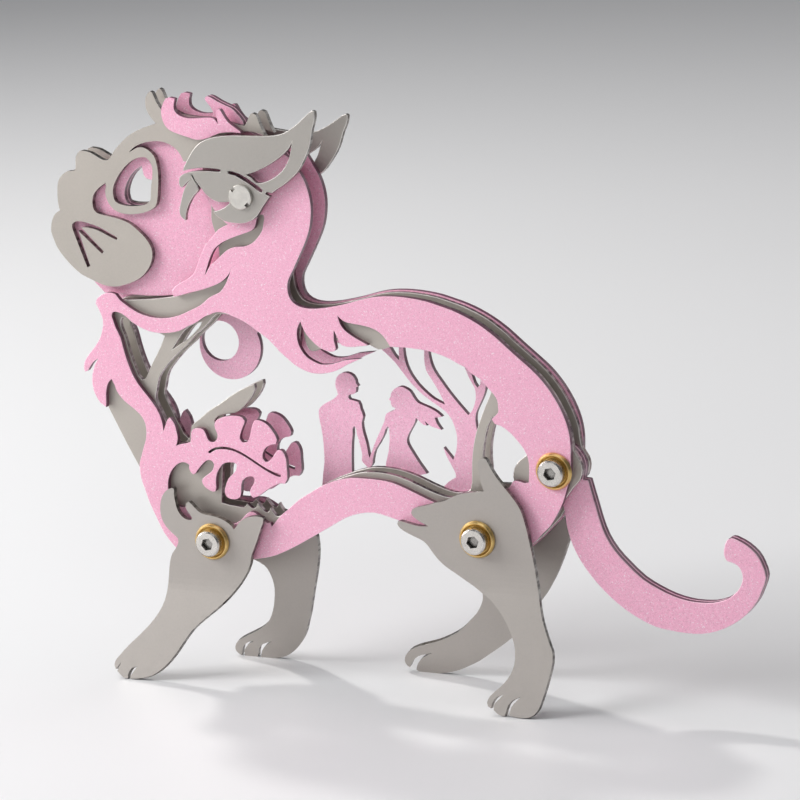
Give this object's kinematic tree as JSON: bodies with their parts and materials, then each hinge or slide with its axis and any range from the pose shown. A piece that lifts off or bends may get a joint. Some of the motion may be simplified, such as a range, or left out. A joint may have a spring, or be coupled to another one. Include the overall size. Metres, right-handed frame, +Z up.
{
  "type": "layered big-cat figurine",
  "caption": "Desk figurine of a standing big cat, built from stacked cut-metal plates on screws, with jointed legs, tail, head and ears.",
  "frame": {"origin": "middle of the overall box, on the level that the feet stand on", "axes": "+X along the body to the tail, -X to the muzzle; +Y across the plates to the far side; +Z up"},
  "size_m": [0.12, 0.0192, 0.0954],
  "materials": {
    "pink_paint": "glitter enamel, satin",
    "steel_plate": "satin, fine blasted grain",
    "hardware_steel": "polished steel",
    "brass": "polished"
  },
  "bodies": {
    "torso": {"near_body_plate": "pink_paint", "near_inner_plate": "steel_plate", "far_inner_plate": "steel_plate", "far_body_plate": "pink_paint", "front_screw": "hardware_steel", "rear_screw": "hardware_steel", "tail_screw": "hardware_steel", "front_nut": "hardware_steel", "rear_nut": "hardware_steel", "tail_nut": "hardware_steel", "near_brass_washers": "brass", "far_brass_washers": "brass", "leg_spacers": "hardware_steel", "ear_spacers": "hardware_steel", "front_sleeve": "hardware_steel", "rear_sleeve": "hardware_steel", "head_rivet": "hardware_steel", "head_rivet_cap": "hardware_steel"},
    "head": {"near_face_plate": "pink_paint", "far_face_plate": "pink_paint", "near_muzzle_plate": "steel_plate", "far_muzzle_plate": "steel_plate", "near_crown_plate": "pink_paint", "far_crown_plate": "pink_paint", "head_dowels": "hardware_steel"},
    "near_ear": {"near_ear": "steel_plate"},
    "far_ear": {"far_ear": "steel_plate"},
    "near_front_leg": {"near_front_leg": "steel_plate"},
    "far_front_leg": {"far_front_leg": "steel_plate"},
    "near_rear_leg": {"near_rear_leg": "steel_plate"},
    "far_rear_leg": {"far_rear_leg": "steel_plate"},
    "tail": {"near_tail_plate": "pink_paint", "far_tail_plate": "pink_paint"}
  },
  "joints": [
    {"name": "head_nod", "type": "hinge", "parent": "torso", "child": "head", "pos_m": [-0.02423, 0, 0.0796], "axis": [0, 1, 0], "range_deg": [-3, 14]},
    {"name": "near_ear_turn", "type": "hinge", "parent": "head", "child": "near_ear", "pos_m": [-0.02423, 0, 0.0796], "axis": [0, 1, 0], "range_deg": [-12, 12]},
    {"name": "far_ear_turn", "type": "hinge", "parent": "head", "child": "far_ear", "pos_m": [-0.02423, 0, 0.0796], "axis": [0, 1, 0], "range_deg": [-12, 12]},
    {"name": "near_front_hip", "type": "hinge", "parent": "torso", "child": "near_front_leg", "pos_m": [-0.03203, 0, 0.0231], "axis": [0, 1, 0], "range_deg": [-25, 25]},
    {"name": "far_front_hip", "type": "hinge", "parent": "torso", "child": "far_front_leg", "pos_m": [-0.03203, 0, 0.0231], "axis": [0, 1, 0], "range_deg": [-25, 25]},
    {"name": "near_rear_hip", "type": "hinge", "parent": "torso", "child": "near_rear_leg", "pos_m": [0.01417, 0, 0.027], "axis": [0, 1, 0], "range_deg": [-25, 25]},
    {"name": "far_rear_hip", "type": "hinge", "parent": "torso", "child": "far_rear_leg", "pos_m": [0.01417, 0, 0.027], "axis": [0, 1, 0], "range_deg": [-25, 25]},
    {"name": "tail_swing", "type": "hinge", "parent": "torso", "child": "tail", "pos_m": [0.02667, 0, 0.0384], "axis": [0, 1, 0], "range_deg": [-25, 25]}
  ]
}
